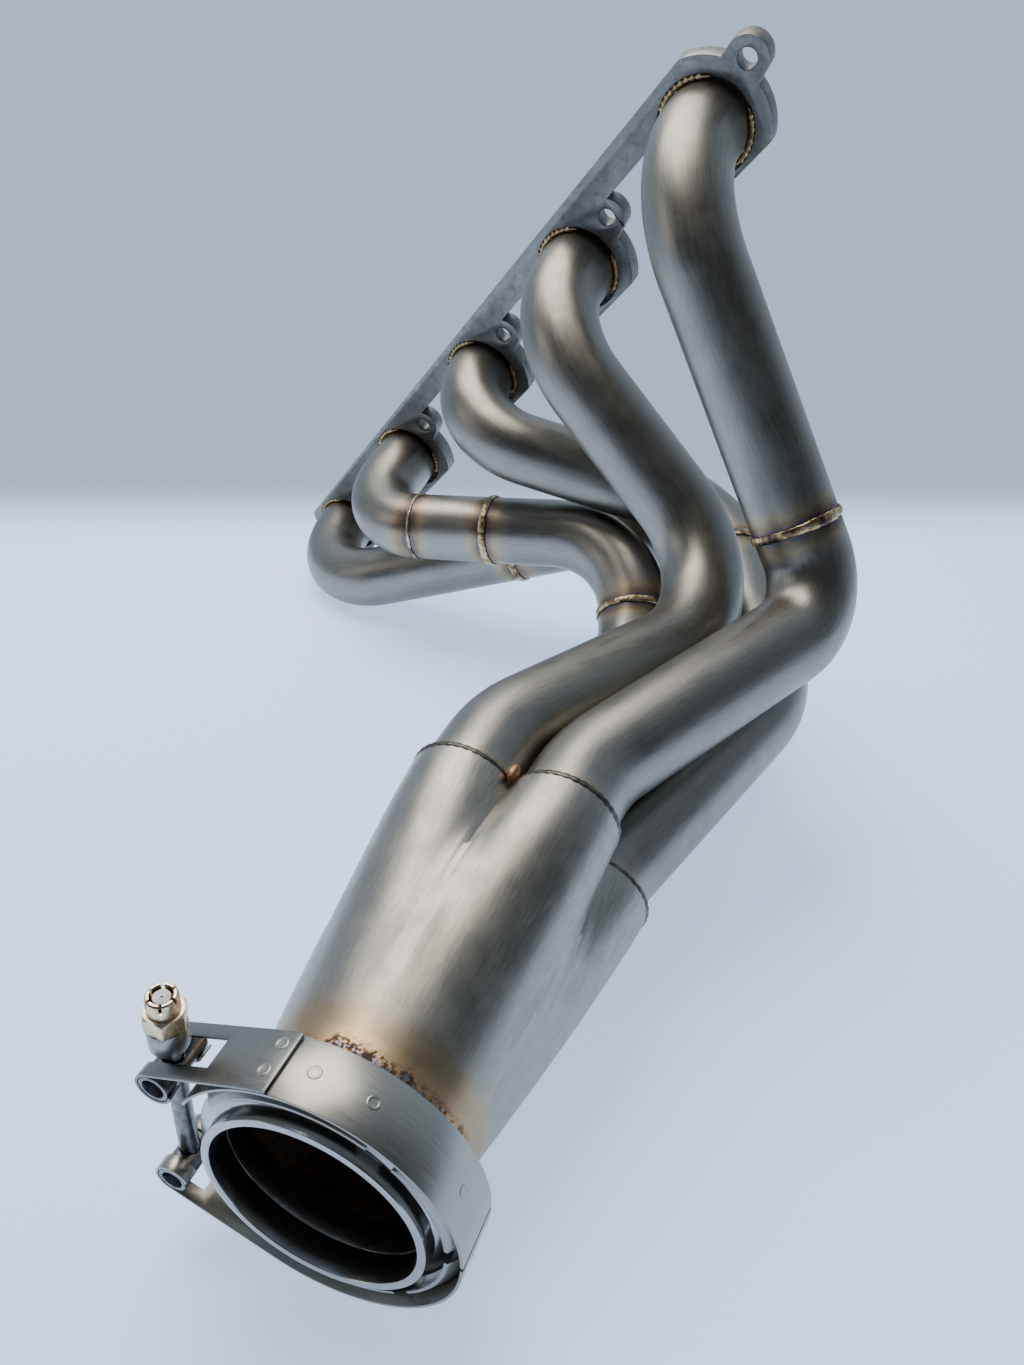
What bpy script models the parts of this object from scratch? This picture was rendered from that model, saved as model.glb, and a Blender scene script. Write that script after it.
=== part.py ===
"""Exhaust manifold: a port plate, five tubes, one collector and a band clamp at its outlet.

The tubes are laid out in a frame whose X runs along the row of ports, with Z leaving the plate.
An empty turns that frame, so that the manifold lies on the floor as it would by itself.
"""

import math

import bmesh
import bpy
from mathutils import Euler, Vector

# Driving sizes, in millimetres
TUBE_OD = 48.3
TUBE_WALL = 2.8
PORT_PITCH = 123.2
PLATE_THICKNESS = 11.0
OUTLET_BORE = 85.0
OUTLET_WALL = 3.6
STRAP_WIDTH = 25.4
STRAP_THICKNESS = 1.2
BARREL_RADIUS = 6.2
SCREW_RADIUS = 4.0

# Clearances, in millimetres
GAP = 0.3
PORT_GAP = 3.5
LIP_SLACK = 4.8
SCREW_SLACK = 0.7

# Detail of the round shapes
TUBE_SIDES = 16
BEND_STEP = 15.0
ROUND_SIDES = 48

TUBE_R = TUBE_OD / 2
OUTLET_R = OUTLET_BORE / 2
SLEEVE_R = OUTLET_R + OUTLET_WALL
PORT_R = TUBE_R + PORT_GAP
RING_OF_TUBES = (TUBE_OD + GAP) / (2 * math.sin(math.radians(36)))

# Plate outline, measured from each port's centre
WEB_EDGE = 15.0
BOSS_R = PORT_R + 9.4
BOLT_X = 41.0
BOLT_Y = 7.6
BOLT_HOLE_R = 5.4
TAB_R = BOLT_HOLE_R + 6.4

# Collector: middle of the mouth, middle of the outlet face, and the two directions
MOUTH = Vector((129.7, -141.1, 359.3))
OUTLET = Vector((158.8, -121.9, 537.5))
OUTLET_AXIS = Vector((0.2474, 0.1403, 0.9587)).normalized()
MOUTH_AXIS = (OUTLET - MOUTH).normalized()
CLAMP_X = Vector((-0.1053, 0.9875, -0.1173))
FIRST_LOBE = -90.0

# Tubes: bend points by hand, in the frame of the row; each ends in its own place in the mouth
ROUTES = {
    "a": {"stub": 58.0, "bends": [(190.3, -217.7, 154.7)], "lead": 34.0, "radii": [76, 38, 76], "lobe": 0},
    "b": {"stub": 63.0, "bends": [(134.2, -205.5, 131.0)], "lead": 42.5, "radii": [70, 70, 76], "lobe": 1},
    "c": {"stub": 60.5, "bends": [(81.0, -178.4, 28.4), (143.5, -233.2, 184.7)], "lead": 13.0,
          "radii": [50, 70, 76, 76], "lobe": 4},
    "d": {"stub": 84.2, "bends": [(33.2, -148.4, 54.7), (32.6, -196.4, 144.2)], "lead": 58.7,
          "radii": [47, 70, 70, 76], "lobe": 2},
    "e": {"stub": 94.0, "bends": [(43.3, -179.4, 3.7), (53.3, -274.4, 135.8)], "lead": 30.0,
          "radii": [70, 70, 70, 76], "lobe": 3},
}
# Butt joints: tube, the straight leg that holds it, and how far along that leg it lies
JOINTS = {
    "a": [(1, 0.9)],
    "b": [],
    "c": [(2, 0.02)],
    "d": [(1, 0.01), (1, 0.56), (2, 0.3)],
    "e": [(1, 0.6)],
}

# Resting pose of the row frame
REST_TURN = (116.70, -43.28, -22.96)

PORT_ORDER = "abcde"


def clear_scene():
    for obj in list(bpy.data.objects):
        bpy.data.objects.remove(obj, do_unlink=True)


def metal(name, colour, roughness):
    material = bpy.data.materials.new(name)
    material.use_nodes = True
    shader = material.node_tree.nodes["Principled BSDF"]
    shader.inputs["Base Color"].default_value = (*colour, 1.0)
    shader.inputs["Roughness"].default_value = roughness
    shader.inputs["Metallic"].default_value = 1.0
    return material


def finish_mesh(name, mesh_data, material, parent):
    """Turns a bmesh in millimetres into an object in metres, with its faces out."""
    bmesh.ops.recalc_face_normals(mesh_data, faces=mesh_data.faces)
    bmesh.ops.scale(mesh_data, vec=(0.001, 0.001, 0.001), verts=mesh_data.verts)
    mesh = bpy.data.meshes.new(name)
    mesh_data.to_mesh(mesh)
    mesh_data.free()
    obj = bpy.data.objects.new(name, mesh)
    bpy.context.scene.collection.objects.link(obj)
    obj.data.materials.append(material)
    obj.parent = parent
    return obj


def loft(name, sections, material, parent, closed=False):
    """Joins equal sections one after the other, with flat ends unless the loft closes on itself."""
    data = bmesh.new()
    rings = [[data.verts.new(point) for point in section] for section in sections]
    count = len(rings[0])
    pairs = list(zip(rings, rings[1:]))
    if closed:
        pairs.append((rings[-1], rings[0]))
    for first, second in pairs:
        for i in range(count):
            j = (i + 1) % count
            data.faces.new((first[i], first[j], second[j], second[i]))
    if not closed:
        data.faces.new(rings[0])
        data.faces.new(rings[-1])
    return finish_mesh(name, data, material, parent)


def cut(obj, cutter):
    """Takes the cutter out of the object and keeps the cutter as a hidden helper."""
    cutter.hide_render = True
    cutter.display_type = "WIRE"
    modifier = obj.modifiers.new("cut_" + cutter.name, "BOOLEAN")
    modifier.operation = "DIFFERENCE"
    modifier.solver = "EXACT"
    modifier.object = cutter


def side_axes(direction, hint):
    """Two directions at right angles to the given one, the first leaning toward the hint."""
    first = (hint - direction * hint.dot(direction)).normalized()
    return first, direction.cross(first)


def circle(centre, direction, hint, radius, sides):
    first, second = side_axes(direction, hint)
    turn = 2 * math.pi / sides
    return [centre + radius * (math.cos(i * turn) * first + math.sin(i * turn) * second) for i in range(sides)]


def rod(name, start, end, radius, material, parent, hint=Vector((0.31, 0.52, 0.79)), sides=24):
    direction = (end - start).normalized()
    sections = [circle(start, direction, hint, radius, sides), circle(end, direction, hint, radius, sides)]
    return loft(name, sections, material, parent)


def arc_points(centre_x, centre_y, radius, first, last, steps):
    points = []
    for i in range(steps + 1):
        angle = math.radians(first + (last - first) * i / steps)
        points.append((centre_x + radius * math.cos(angle), centre_y + radius * math.sin(angle)))
    return points


# Frames of the collector and of the clamp

MOUTH_X, MOUTH_Y = side_axes(MOUTH_AXIS, CLAMP_X)
CLAMP_X, CLAMP_Y = side_axes(OUTLET_AXIS, CLAMP_X)


def at_mouth(radius, degrees, along=0.0):
    angle = math.radians(degrees)
    return MOUTH + MOUTH_AXIS * along + radius * (math.cos(angle) * MOUTH_X + math.sin(angle) * MOUTH_Y)


def at_clamp(x, y, along):
    return OUTLET + OUTLET_AXIS * along + x * CLAMP_X + y * CLAMP_Y


def clamp_polar(radius, degrees, along):
    angle = math.radians(degrees)
    return at_clamp(radius * math.cos(angle), radius * math.sin(angle), along)


# Port plate

def plate_outline():
    first_x = 2 * PORT_PITCH
    points = []
    for k in range(5):
        x = first_x - k * PORT_PITCH
        if k == 0:
            points += arc_points(x, 0, BOSS_R, 66, 30, 5)
            points += arc_points(x + BOLT_X, BOLT_Y, TAB_R, 105, -62, 9)
        else:
            points += arc_points(x + BOLT_X, BOLT_Y, TAB_R, 38, -62, 6)
        points += arc_points(x, 0, BOSS_R, -8, -56, 5)
        last = -214 if k < 4 else -246
        points += arc_points(x, 0, BOSS_R, -124, last + 12, 7)
        if k < 4:
            points.append((x - BOSS_R + 4, WEB_EDGE))
    return points


def make_plate(material, parent):
    outline = plate_outline()
    sections = [[Vector((x, y, z)) for x, y in outline] for z in (-PLATE_THICKNESS, 0.0)]
    plate = loft("head_flange", sections, material, parent)
    for k in range(5):
        x = (2 - k) * PORT_PITCH
        name = "port_" + PORT_ORDER[k] + "_cutter"
        below = Vector((x, 0, -PLATE_THICKNESS - 5))
        cut(plate, rod(name, below, Vector((x, 0, 5)), PORT_R, material, parent, sides=32))
        hole = Vector((x + BOLT_X, BOLT_Y, 0))
        deep = Vector((0, 0, PLATE_THICKNESS + 5))
        name = "bolt_hole_" + PORT_ORDER[k] + "_cutter"
        cut(plate, rod(name, hole - deep, hole + deep, BOLT_HOLE_R, material, parent, sides=16))
    return plate


# Tubes

def route_points(letter):
    route = ROUTES[letter]
    x = (2 - PORT_ORDER.index(letter)) * PORT_PITCH
    end = at_mouth(RING_OF_TUBES, FIRST_LOBE + 72 * route["lobe"], -GAP / 2)
    points = [Vector((x, 0, 1.0 - PLATE_THICKNESS)), Vector((x, 0, route["stub"]))]
    points += [Vector(point) for point in route["bends"]]
    points += [end - MOUTH_AXIS * route["lead"], end]
    return points


def rounded_route(points, radii, joints):
    """Centre line as a list of (place, direction, piece): arcs at the bends, straight legs between them.

    The joints name a leg and a share of its straight stretch, where one piece ends and the next begins.
    """
    legs = [(b - a).normalized() for a, b in zip(points, points[1:])]
    reach = [0.0]
    for i, radius in enumerate(radii):
        turn = legs[i].angle(legs[i + 1])
        reach.append(radius * math.tan(turn / 2))
    reach.append(0.0)
    line = []
    piece = 0
    for i, leg in enumerate(legs):
        start = points[i] + leg * reach[i]
        end = points[i + 1] - leg * reach[i + 1]
        line.append((start, leg, piece))
        for where, share in joints:
            if where == i:
                place = start.lerp(end, share)
                line.append((place - leg * GAP / 2, leg, piece))
                piece += 1
                line.append((place + leg * GAP / 2, leg, piece))
        line.append((end, leg, piece))
        if i < len(radii):
            following = legs[i + 1]
            turn = leg.angle(following)
            if turn > 0.01:
                inward = (following - leg * leg.dot(following)).normalized()
                centre = end + inward * radii[i]
                steps = max(1, math.ceil(math.degrees(turn) / BEND_STEP))
                for k in range(1, steps):
                    angle = turn * k / steps
                    place = centre + radii[i] * (math.sin(angle) * leg - math.cos(angle) * inward)
                    line.append((place, math.cos(angle) * leg + math.sin(angle) * inward, piece))
    return line


def pipe(name, line, outer, inner, material, parent):
    """Hollow tube along places with directions; the seam follows the line without twisting."""
    hint = side_axes(line[0][1], Vector((0.31, 0.52, 0.79)))[0]
    outside = []
    inside = []
    for place, direction in line:
        hint = side_axes(direction, hint)[0]
        outside.append(circle(place, direction, hint, outer, TUBE_SIDES))
        inside.append(circle(place, direction, hint, inner, TUBE_SIDES))
    return loft(name, outside + inside[::-1], material, parent, closed=True)


def without_repeats(line):
    kept = [line[0]]
    for place, direction in line[1:]:
        if (place - kept[-1][0]).length > 0.5:
            kept.append((place, direction))
    return kept


PIECE_NAMES = {
    "a": ["tube_a_upper", "tube_a_lower"],
    "b": ["tube_b"],
    "c": ["tube_c_upper", "tube_c_lower"],
    "d": ["tube_d_upper", "tube_d_insert", "tube_d_middle", "tube_d_lower"],
    "e": ["tube_e_upper", "tube_e_lower"],
}


def make_tube(letter, steel, bead_steel, parent):
    route = ROUTES[letter]
    line = rounded_route(route_points(letter), route["radii"], JOINTS[letter])
    for number, name in enumerate(PIECE_NAMES[letter]):
        piece = [(place, direction) for place, direction, which in line if which == number]
        pipe(name, without_repeats(piece), TUBE_R, TUBE_R - TUBE_WALL, steel, parent)
        if number > 0:
            place, direction = piece[0]
            bead = "joint_weld_" + letter
            if len(PIECE_NAMES[letter]) > 2:
                bead += "_" + str(number)
            weld_ring(bead, place - direction * GAP / 2, direction, bead_steel, parent)


def weld_ring(name, place, direction, material, parent):
    """Raised bead around a butt joint."""
    hint = Vector((0.31, 0.52, 0.79))
    low = TUBE_R + GAP
    high = low + 1.3
    profile = [(low, -2.6), (high, -1.4), (high, 1.4), (low, 2.6)]
    sections = [circle(place + direction * along, direction, hint, radius, 24) for radius, along in profile]
    loft(name, sections, material, parent, closed=True)


def port_weld(letter, material, parent):
    """Ring of weld that fills part of the space between a tube and its port."""
    x = (2 - PORT_ORDER.index(letter)) * PORT_PITCH
    low = TUBE_R + GAP
    high = PORT_R - GAP
    profile = [(low, -8.5), (high, -8.5), (high, -3.0), (low, -1.5)]
    sections = [circle(Vector((x, 0, z)), Vector((0, 0, 1)), Vector((1, 0, 0)), r, 24) for r, z in profile]
    loft("port_weld_" + letter, sections, material, parent, closed=True)


# Collector

def lobed_section(centre, axis, ring, radius, hint):
    """Outline of five equal circles set in a ring, from one valley to the next."""
    first, second = side_axes(axis, hint)
    half = math.radians(36)
    valley = ring * math.cos(half) + math.sqrt(radius ** 2 - (ring * math.sin(half)) ** 2)
    sweep = math.atan2(valley * math.sin(half), valley * math.cos(half) - ring)
    points = []
    for lobe in range(5):
        turn = math.radians(FIRST_LOBE + 72 * lobe)
        for i in range(8):
            angle = sweep * (i / 4 - 1)
            x = ring + radius * math.cos(angle)
            y = radius * math.sin(angle)
            px = x * math.cos(turn) - y * math.sin(turn)
            py = x * math.sin(turn) + y * math.cos(turn)
            points.append(centre + px * first + py * second)
    return points


def ease(t):
    return t * t * (3 - 2 * t)


def make_collector(material, parent):
    length = (OUTLET - MOUTH).length
    end = length - 24.4
    cone = length - 42.0
    mouth_outer = TUBE_R + 3.1
    mouth_inner = TUBE_R + 0.4
    outside = []
    inside = []
    stations = [0.0, 0.08, 0.2, 0.34, 0.48, 0.62, 0.76, 0.9, 1.0]
    for t in stations:
        share = t ** 1.25
        ring = RING_OF_TUBES * (1 - share)
        lean = ease(t)
        axis = MOUTH_AXIS.lerp(OUTLET_AXIS, lean).normalized()
        centre = (MOUTH + MOUTH_AXIS * (GAP / 2 + cone * t)).lerp(OUTLET - OUTLET_AXIS * (length - cone * t), lean)
        outer = mouth_outer + (SLEEVE_R - mouth_outer) * share
        inner = mouth_inner + (OUTLET_R - mouth_inner) * share
        outside.append(lobed_section(centre, axis, ring, outer, CLAMP_X))
        inside.append(lobed_section(centre, axis, ring, inner, CLAMP_X))
    for along in (end,):
        centre = OUTLET - OUTLET_AXIS * (length - along)
        outside.append(lobed_section(centre, OUTLET_AXIS, 0.0, SLEEVE_R, CLAMP_X))
        inside.append(lobed_section(centre, OUTLET_AXIS, 0.0, OUTLET_R, CLAMP_X))
    loft("collector_shell", outside + inside[::-1], material, parent, closed=True)


def spun_ring(name, profile, material, parent, sides=ROUND_SIDES):
    """Full ring about the outlet axis from (radius, along) pairs."""
    sections = []
    for i in range(sides):
        angle = 360.0 * i / sides
        sections.append([clamp_polar(radius, angle, along) for radius, along in profile])
    return loft(name, sections, material, parent, closed=True)


def arc_strip(name, profile, first, last, steps, material, parent):
    """Part of a ring about the outlet axis, with flat ends."""
    sections = []
    for i in range(steps + 1):
        angle = first + (last - first) * i / steps
        sections.append([clamp_polar(radius, angle, along) for radius, along in profile])
    return loft(name, sections, material, parent)


# Clamp, in the plane across the outlet: degrees start at CLAMP_X
JOINT_PLANE = -12.0
STRAP_FRONT = -1.8
STRAP_BACK = STRAP_FRONT - STRAP_WIDTH
STRAP_MIDDLE = (STRAP_FRONT + STRAP_BACK) / 2
LIP_R = SLEEVE_R + 7.0
RETAINER_R = LIP_R + LIP_SLACK
STRAP_R = RETAINER_R + GAP
TONGUE_R = STRAP_R + STRAP_THICKNESS + GAP
UPPER_BARREL = (70.0, 10.0)
LOWER_BARREL = (37.7, 61.7)
BARREL_SPAN = math.dist(UPPER_BARREL, LOWER_BARREL)
COLLAR_START = BARREL_SPAN + BARREL_RADIUS + STRAP_THICKNESS + 5.2
COLLAR_END = COLLAR_START + 11.0
HINGE_ANGLE = -146.5
STRAP_END = 4.0
LOWER_STRAP_LEAVES = 118.0
TONGUE_STARTS = -43.0
TONGUE_LEAVES = -33.0
ARM_WINDOW = 21.0


def loop_path(barrel, side, wrap, inner):
    """Points around a barrel: side is +1 for a strap arriving counterclockwise, -1 clockwise."""
    towards = math.degrees(math.atan2(barrel[1], barrel[0]))
    distance = math.hypot(*barrel)
    lean = math.degrees(math.acos((STRAP_R + STRAP_THICKNESS - inner) / distance))
    first = towards - side * lean
    steps = max(4, int(wrap / 20))
    return [first + side * wrap * i / steps for i in range(steps + 1)]


def strap_sections(path, front, back):
    """Sections of a flat strip from (x, y, normal x, normal y) places in the clamp's plane."""
    sections = []
    for x, y, nx, ny in path:
        ox = x + nx * STRAP_THICKNESS
        oy = y + ny * STRAP_THICKNESS
        sections.append([at_clamp(x, y, front), at_clamp(ox, oy, front), at_clamp(ox, oy, back),
                         at_clamp(x, y, back)])
    return sections


def arc_path(radius, first, last, steps):
    path = []
    for i in range(steps + 1):
        angle = math.radians(first + (last - first) * i / steps)
        path.append((radius * math.cos(angle), radius * math.sin(angle), math.cos(angle), math.sin(angle)))
    return path


def barrel_path(barrel, side, wrap):
    inner = BARREL_RADIUS + GAP
    path = []
    for degrees in loop_path(barrel, side, wrap, inner):
        angle = math.radians(degrees)
        nx = math.cos(angle)
        ny = math.sin(angle)
        path.append((barrel[0] + inner * nx, barrel[1] + inner * ny, nx, ny))
    return path


def window_cutter(name, barrel, reach, material, parent):
    """Block through the middle of a loop, where the closing screw passes; reach is how far it runs down the arm."""
    half = SCREW_RADIUS + 2.4
    dx = UPPER_BARREL[0] - LOWER_BARREL[0]
    dy = UPPER_BARREL[1] - LOWER_BARREL[1]
    size = math.hypot(dx, dy)
    dx /= size
    dy /= size
    sections = []
    for along in (-13.0, max(13.0, reach - 1.0)):
        section = []
        for across, z in ((-reach, -half), (-reach, half), (9.5, half), (9.5, -half)):
            x = barrel[0] + dx * along - dy * across
            y = barrel[1] + dy * along + dx * across
            section.append(at_clamp(x, y, STRAP_MIDDLE + z))
        sections.append(section)
    return loft(name, sections, material, parent)


def screw_place(along, across=0.0):
    """Place on the closing screw, from the lower barrel toward the nut."""
    dx = UPPER_BARREL[0] - LOWER_BARREL[0]
    dy = UPPER_BARREL[1] - LOWER_BARREL[1]
    size = math.hypot(dx, dy)
    x = LOWER_BARREL[0] + dx / size * along - dy / size * across
    y = LOWER_BARREL[1] + dy / size * along + dx / size * across
    return at_clamp(x, y, STRAP_MIDDLE)


def make_outlet(steel, band_steel, parent):
    tight = 0.15
    lip = LIP_R
    spun_ring("outlet_flange", [
        (OUTLET_R, JOINT_PLANE - tight), (OUTLET_R, -24.1), (SLEEVE_R, -24.1), (SLEEVE_R, JOINT_PLANE - 5.6),
        (lip, JOINT_PLANE - 2.2), (lip, JOINT_PLANE - tight)], steel, parent)
    spun_ring("mating_ring", [
        (OUTLET_R, 0.0), (OUTLET_R, JOINT_PLANE + tight), (lip, JOINT_PLANE + tight), (lip, JOINT_PLANE + 2.2),
        (SLEEVE_R, JOINT_PLANE + 5.6), (SLEEVE_R, 0.0)], band_steel, parent)


def make_clamp(band_steel, dark_steel, gold, parent):
    # strap halves meet at the hinge, at the back
    fixed = arc_path(STRAP_R, HINGE_ANGLE + 1.0, STRAP_END, 16)
    loft("clamp_strap_fixed", strap_sections(fixed, STRAP_FRONT, STRAP_BACK), band_steel, parent)

    swing = arc_path(STRAP_R, HINGE_ANGLE + 359.0, LOWER_STRAP_LEAVES, 9)
    swing += barrel_path(LOWER_BARREL, -1, 235.0)
    strap = loft("clamp_strap_swing", strap_sections(swing, STRAP_FRONT, STRAP_BACK), band_steel, parent)
    cut(strap, window_cutter("lower_window_cutter", LOWER_BARREL, 9.5, band_steel, parent))

    tongue = arc_path(TONGUE_R, TONGUE_STARTS, TONGUE_LEAVES, 4)
    tongue += barrel_path(UPPER_BARREL, 1, 235.0)
    plate = loft("tongue_plate", strap_sections(tongue, STRAP_FRONT, STRAP_BACK), band_steel, parent)
    cut(plate, window_cutter("upper_window_cutter", UPPER_BARREL, ARM_WINDOW, band_steel, parent))

    # V shaped segments inside the strap
    thin = 1.5
    top = RETAINER_R
    leg = LIP_R - 1.6
    profile = [
        (top, JOINT_PLANE - 3.2), (leg + thin, JOINT_PLANE - 8.8), (leg, JOINT_PLANE - 8.8),
        (top - thin, JOINT_PLANE - 3.0), (top - thin, JOINT_PLANE + 3.0), (leg, JOINT_PLANE + 8.8),
        (leg + thin, JOINT_PLANE + 8.8), (top, JOINT_PLANE + 3.2)]
    spans = [(-82, -6, "retainer_1"), (-142, -94, "retainer_2"), (168, 210, "retainer_3"), (122, 160, "retainer_4")]
    for first, last, name in spans:
        arc_strip(name, profile, first, last, 10, band_steel, parent)

    # barrels and closing screw
    front = STRAP_FRONT - 0.2
    back = STRAP_BACK + 0.2
    upper = rod("upper_trunnion", at_clamp(*UPPER_BARREL, front), at_clamp(*UPPER_BARREL, back),
                BARREL_RADIUS, dark_steel, parent)
    cut(upper, rod("upper_hole_cutter", screw_place(45), screw_place(80), SCREW_RADIUS + SCREW_SLACK, dark_steel,
                   parent, sides=20))
    cut(upper, rod("barrel_front_cutter", at_clamp(*UPPER_BARREL, front + 2), at_clamp(*UPPER_BARREL, front - 6),
                   BARREL_RADIUS - 1.6, dark_steel, parent, sides=20))
    cut(upper, rod("barrel_back_cutter", at_clamp(*UPPER_BARREL, back - 2), at_clamp(*UPPER_BARREL, back + 6),
                   BARREL_RADIUS - 1.6, dark_steel, parent, sides=20))
    lower = rod("lower_trunnion", at_clamp(*LOWER_BARREL, front), at_clamp(*LOWER_BARREL, back),
                BARREL_RADIUS, dark_steel, parent)
    cut(lower, rod("lower_hole_cutter", screw_place(1.0), screw_place(20), SCREW_RADIUS + GAP, dark_steel, parent,
                   sides=20))
    rod("t_bolt", screw_place(1.6), screw_place(COLLAR_END + 14.4), SCREW_RADIUS, dark_steel, parent, sides=20)
    collar_line = [(screw_place(COLLAR_START), 7.6), (screw_place(COLLAR_END), 7.6)]
    washer(collar_line, "bolt_collar", band_steel, parent)
    make_nut(gold, parent)


def washer(line, name, material, parent):
    (start, outer), (end, _) = line
    direction = (end - start).normalized()
    inner = SCREW_RADIUS + GAP
    sections = []
    for place, radius in ((start, inner), (start, outer), (end, outer), (end, inner)):
        sections.append(circle(place, direction, OUTLET_AXIS, radius, 24))
    loft(name, sections, material, parent, closed=True)


def make_nut(material, parent):
    """Hexagon with a slotted round crown."""
    start = screw_place(COLLAR_END + GAP)
    shoulder = screw_place(COLLAR_END + 8.0)
    top = screw_place(COLLAR_END + 15.6)
    direction = (top - start).normalized()
    inner = SCREW_RADIUS + GAP
    hexagon = 8.3
    sections = []
    for place, radius, flat in ((start, inner, 0), (start, hexagon, 1), (shoulder, hexagon, 1), (shoulder, 6.2, 0),
                                (top, 5.8, 0), (top, inner, 0)):
        section = circle(place, direction, OUTLET_AXIS, radius, 24)
        if flat:
            section = []
            first, second = side_axes(direction, OUTLET_AXIS)
            for i in range(24):
                angle = 2 * math.pi * i / 24
                reach = hexagon * math.cos(math.radians(30)) / math.cos((angle + 0.5236) % 1.0472 - 0.5236)
                section.append(place + reach * (math.cos(angle) * first + math.sin(angle) * second))
        sections.append(section)
    nut = loft("clamp_nut", sections, material, parent, closed=True)
    first, second = side_axes(direction, OUTLET_AXIS)
    for i in range(3):
        angle = math.radians(60 * i + 30)
        across = math.cos(angle) * first + math.sin(angle) * second
        side = direction.cross(across)
        sections = []
        for reach in (-9.0, 9.0):
            centre = top + across * reach
            sections.append([centre - side * 0.6 - direction * 4, centre + side * 0.6 - direction * 4,
                             centre + side * 0.6 + direction * 2, centre - side * 0.6 + direction * 2])
        cut(nut, loft("nut_slot_cutter_" + str(i + 1), sections, material, parent))


def extent():
    """Lowest and highest corner of all the parts, in the pose they have now."""
    bpy.context.view_layer.update()
    graph = bpy.context.evaluated_depsgraph_get()
    low = Vector((1e9, 1e9, 1e9))
    high = -low
    for obj in bpy.context.scene.objects:
        if obj.type == "MESH" and not obj.hide_render:
            shape = obj.evaluated_get(graph)
            for vertex in shape.data.vertices:
                place = shape.matrix_world @ vertex.co
                low = Vector(map(min, low, place))
                high = Vector(map(max, high, place))
    return low, high


def build():
    clear_scene()
    plate_steel = metal("plate_steel", (0.42, 0.40, 0.37), 0.42)
    tube_steel = metal("tube_steel", (0.50, 0.48, 0.45), 0.32)
    bead_steel = metal("bead_steel", (0.48, 0.36, 0.22), 0.40)
    band_steel = metal("band_steel", (0.62, 0.61, 0.59), 0.24)
    dark_steel = metal("dark_steel", (0.25, 0.25, 0.25), 0.30)
    gold = metal("gold_plate", (0.70, 0.55, 0.30), 0.28)

    pose = bpy.data.objects.new("resting_pose", None)
    bpy.context.scene.collection.objects.link(pose)
    pose.rotation_euler = Euler([math.radians(angle) for angle in REST_TURN])

    make_plate(plate_steel, pose)
    for letter in PORT_ORDER:
        make_tube(letter, tube_steel, bead_steel, pose)
        port_weld(letter, bead_steel, pose)
    make_collector(tube_steel, pose)
    star_back = MOUTH - MOUTH_AXIS * 3.4
    rod("collector_star", star_back, MOUTH - MOUTH_AXIS * 0.3, RING_OF_TUBES - TUBE_R - GAP, tube_steel, pose)
    make_outlet(tube_steel, band_steel, pose)
    make_clamp(band_steel, dark_steel, gold, pose)
    low, high = extent()
    pose.location = (-(low.x + high.x) / 2, -(low.y + high.y) / 2, -low.z)


build()
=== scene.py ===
import bpy
import math
import random
from mathutils import Euler, Matrix, Vector


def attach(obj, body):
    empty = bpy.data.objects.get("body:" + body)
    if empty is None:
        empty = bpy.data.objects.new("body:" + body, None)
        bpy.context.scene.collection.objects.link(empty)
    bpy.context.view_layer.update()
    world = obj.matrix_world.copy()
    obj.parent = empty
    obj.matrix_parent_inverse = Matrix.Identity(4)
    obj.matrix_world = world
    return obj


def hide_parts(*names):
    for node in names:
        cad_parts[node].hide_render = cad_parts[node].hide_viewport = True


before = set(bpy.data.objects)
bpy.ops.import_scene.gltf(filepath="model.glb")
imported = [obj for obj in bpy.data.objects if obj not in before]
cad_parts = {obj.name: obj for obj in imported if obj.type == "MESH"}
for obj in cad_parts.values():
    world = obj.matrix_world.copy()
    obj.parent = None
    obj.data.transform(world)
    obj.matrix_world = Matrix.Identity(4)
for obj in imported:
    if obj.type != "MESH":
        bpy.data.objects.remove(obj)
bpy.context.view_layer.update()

# The row frame: X along the ports, Z out of the plate, millimetres

REST_TURN = Euler([math.radians(a) for a in (116.70, -43.28, -22.96)]).to_matrix()
REST_PLACE = Vector((-45.121, 220.172, 205.450))
TO_METRES = Matrix.Scale(0.001, 4) @ Matrix.Translation(REST_PLACE) @ REST_TURN.to_4x4()

TUBE_R = 24.15
TUBE_WALL = 2.8
PORT_PITCH = 123.2
PORT_R = TUBE_R + 3.5
PLATE_THICKNESS = 11.0
GAP = 0.3
OUTLET_R = 42.5
SLEEVE_R = 46.1
MOUTH = Vector((129.7, -141.1, 359.3))
OUTLET = Vector((158.8, -121.9, 537.5))
OUTLET_AXIS = Vector((0.2474, 0.1403, 0.9587)).normalized()
MOUTH_AXIS = (OUTLET - MOUTH).normalized()
RING_OF_TUBES = (2 * TUBE_R + GAP) / (2 * math.sin(math.radians(36)))
FIRST_LOBE = -90.0

LOBE_SIDE = Vector((-0.1053, 0.9875, -0.1173))
SLEEVE_LENGTH = 42.0
BOLT_X = 41.0
BOLT_Y = 7.6
BOLT_HOLE_R = 5.4
WEB_EDGE = 15.0

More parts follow.
